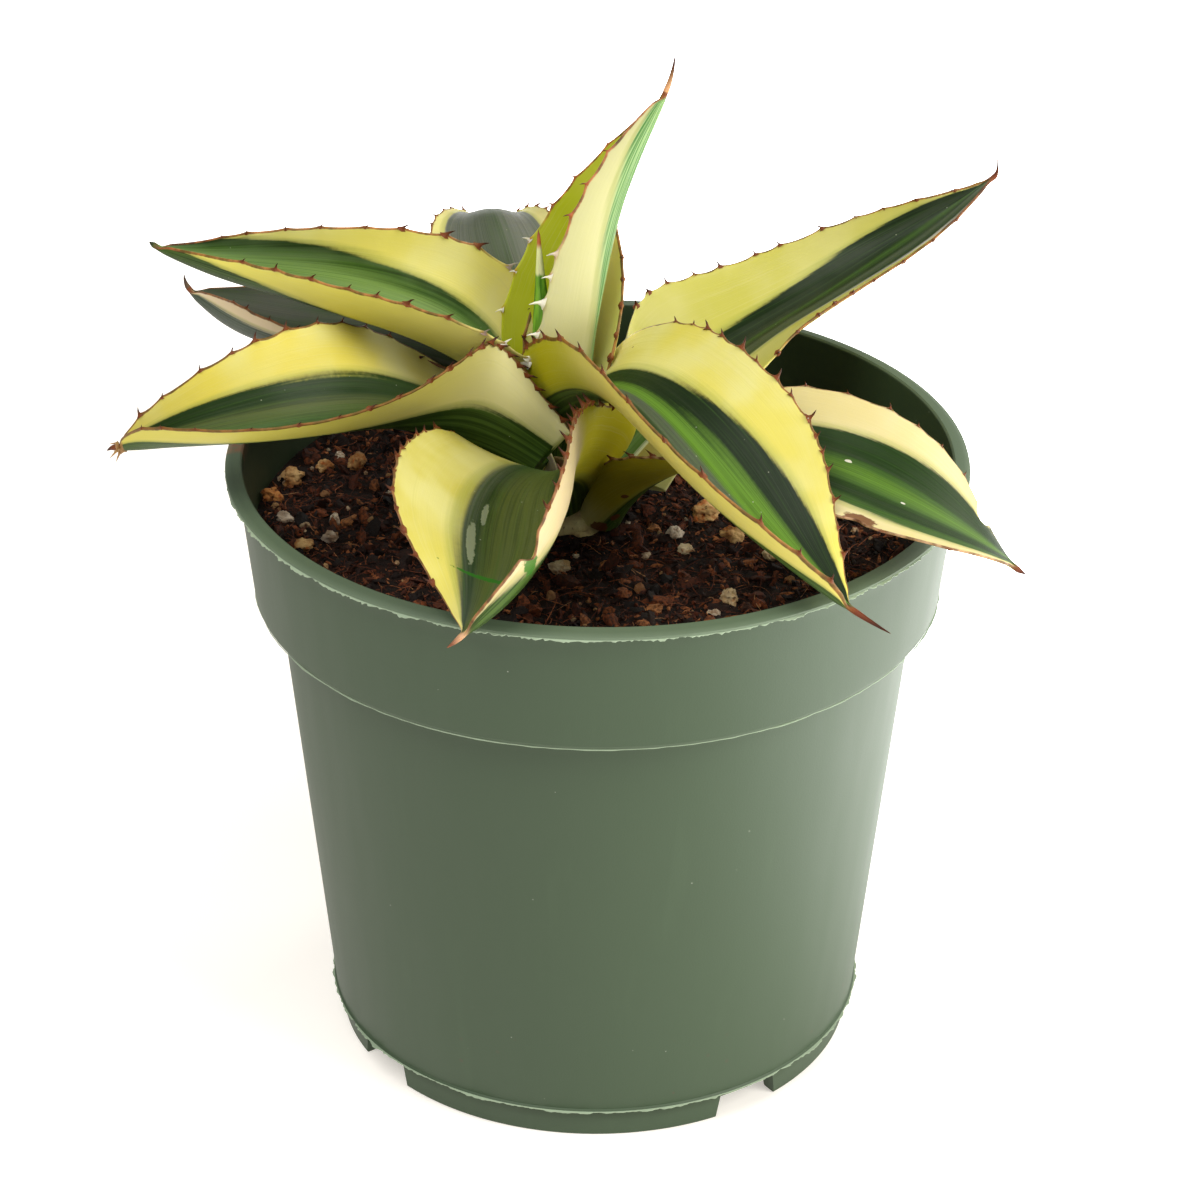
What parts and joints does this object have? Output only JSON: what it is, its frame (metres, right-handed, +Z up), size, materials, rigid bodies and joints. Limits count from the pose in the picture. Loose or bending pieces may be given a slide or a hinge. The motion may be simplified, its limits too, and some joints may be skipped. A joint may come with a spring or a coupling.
{
  "type": "potted agave",
  "caption": "Young variegated agave rosette with toothed, striped leaves, in potting mix in a round tapered nursery pot.",
  "frame": {"origin": "under the middle of the whole object's box, in the plane that the foot rests on; the pot's axis stands 5.9 mm towards +X and 1.8 mm towards +Y of it", "axes": "+Z up along the pot's axis, and -Y towards the side that the picture shows"},
  "size_m": [0.1968, 0.1663, 0.2249],
  "materials": {
    "pot_plastic": "satin",
    "potting_mix": "matte",
    "agave_leaf": "satin",
    "agave_spear": "satin",
    "agave_stem": "matte",
    "pumice": "matte",
    "perlite": "matte",
    "bark": "matte"
  },
  "bodies": {
    "root": {"pot": "pot_plastic", "soil": "potting_mix", "stem": "agave_stem", "central_spear": "agave_spear", "leaf_top": "agave_leaf", "leaf_rear_right": "agave_leaf", "leaf_upper_left": "agave_leaf", "leaf_front_right": "agave_leaf", "leaf_upper_right": "agave_leaf", "leaf_rear_left": "agave_leaf", "leaf_middle_left": "agave_leaf", "leaf_lower_left": "agave_leaf", "leaf_front_left": "agave_leaf", "leaf_lower_right": "agave_leaf", "pumice_1": "pumice", "pumice_2": "pumice", "pumice_3": "pumice", "pumice_4": "pumice", "pumice_5": "pumice", "pumice_6": "pumice", "pumice_7": "pumice", "pumice_8": "pumice", "pumice_9": "pumice", "perlite_1": "perlite", "perlite_2": "perlite", "perlite_3": "perlite", "perlite_4": "perlite", "perlite_5": "perlite", "bark_1": "bark", "bark_2": "bark"}
  },
  "joints": []
}
